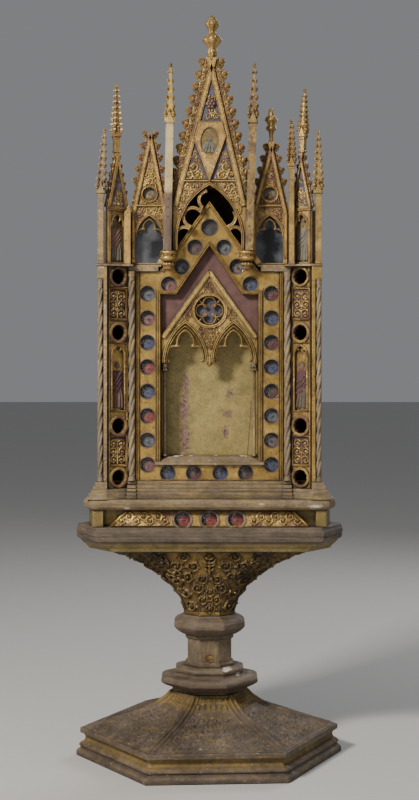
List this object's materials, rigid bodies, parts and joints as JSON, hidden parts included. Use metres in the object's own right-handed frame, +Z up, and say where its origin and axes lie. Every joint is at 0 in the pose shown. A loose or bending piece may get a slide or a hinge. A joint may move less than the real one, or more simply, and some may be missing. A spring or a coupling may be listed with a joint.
{
  "type": "reliquary tabernacle",
  "caption": "Carved and gilded wooden reliquary tabernacle with an arched niche, round relic openings and crocketed gables, on a moulded foot with a stem.",
  "frame": {"origin": "centre of the foot's underside, on the stem's axis", "axes": "+Z up; the carved front with the niche faces -Y; +X is to the right seen from the front"},
  "size_m": [0.49, 0.4386, 1.344],
  "materials": {
    "gilding": "aged water gilding over red bole, rubbed to the wood",
    "dark_gilding": "dark gilding, deep in dirt",
    "worn_wood": "grey-brown wood with worn paint, gesso and traces of gold",
    "bare_wood": "bare dark wood",
    "niche_gold": "olive matt gold with brown losses",
    "rose_paint": "matt rose-brown paint, rubbed",
    "window_glass": "dusty dark glass"
  },
  "bodies": {
    "root": {"back_board": "bare_wood", "backing_board": "rose_paint", "base_moulding": "gilding", "bay_left": "gilding", "bay_right": "gilding", "canopy": "gilding", "capital": "dark_gilding", "corbel_left": "gilding", "corbel_right": "gilding", "corner_gable_left": "gilding", "corner_gable_right": "gilding", "corner_post_left": "gilding", "corner_post_right": "gilding", "corner_spire_left": "gilding", "corner_spire_right": "gilding", "cornice": "worn_wood", "cusping_left": "gilding", "cusping_right": "gilding", "foot_bell": "worn_wood", "foot_plinth": "worn_wood", "front_frame": "gilding", "inner_colonnette_left": "gilding", "inner_colonnette_right": "gilding", "inner_pinnacle_right": "gilding", "inner_pinnacle_stub_left": "gilding", "lower_knop": "worn_wood", "niche_colonnette_left": "gilding", "niche_colonnette_right": "gilding", "niche_lining": "bare_wood", "niche_panel": "niche_gold", "niche_sill": "gilding", "niche_tracery": "gilding", "outer_colonnette_left": "gilding", "outer_colonnette_right": "gilding", "outer_pinnacle_left": "gilding", "outer_pinnacle_right": "gilding", "predella_core": "gilding", "predella_panel": "gilding", "roof_board": "bare_wood", "shelf": "worn_wood", "side_board_left": "worn_wood", "side_board_right": "worn_wood", "sill_left": "gilding", "sill_right": "gilding", "stem_shaft": "dark_gilding", "tall_pinnacle_left": "gilding", "tall_pinnacle_right": "gilding", "upper_knop": "worn_wood", "window_pane_left": "window_glass", "window_pane_right": "window_glass", "wing_left": "gilding", "wing_right": "gilding"}
  },
  "joints": []
}
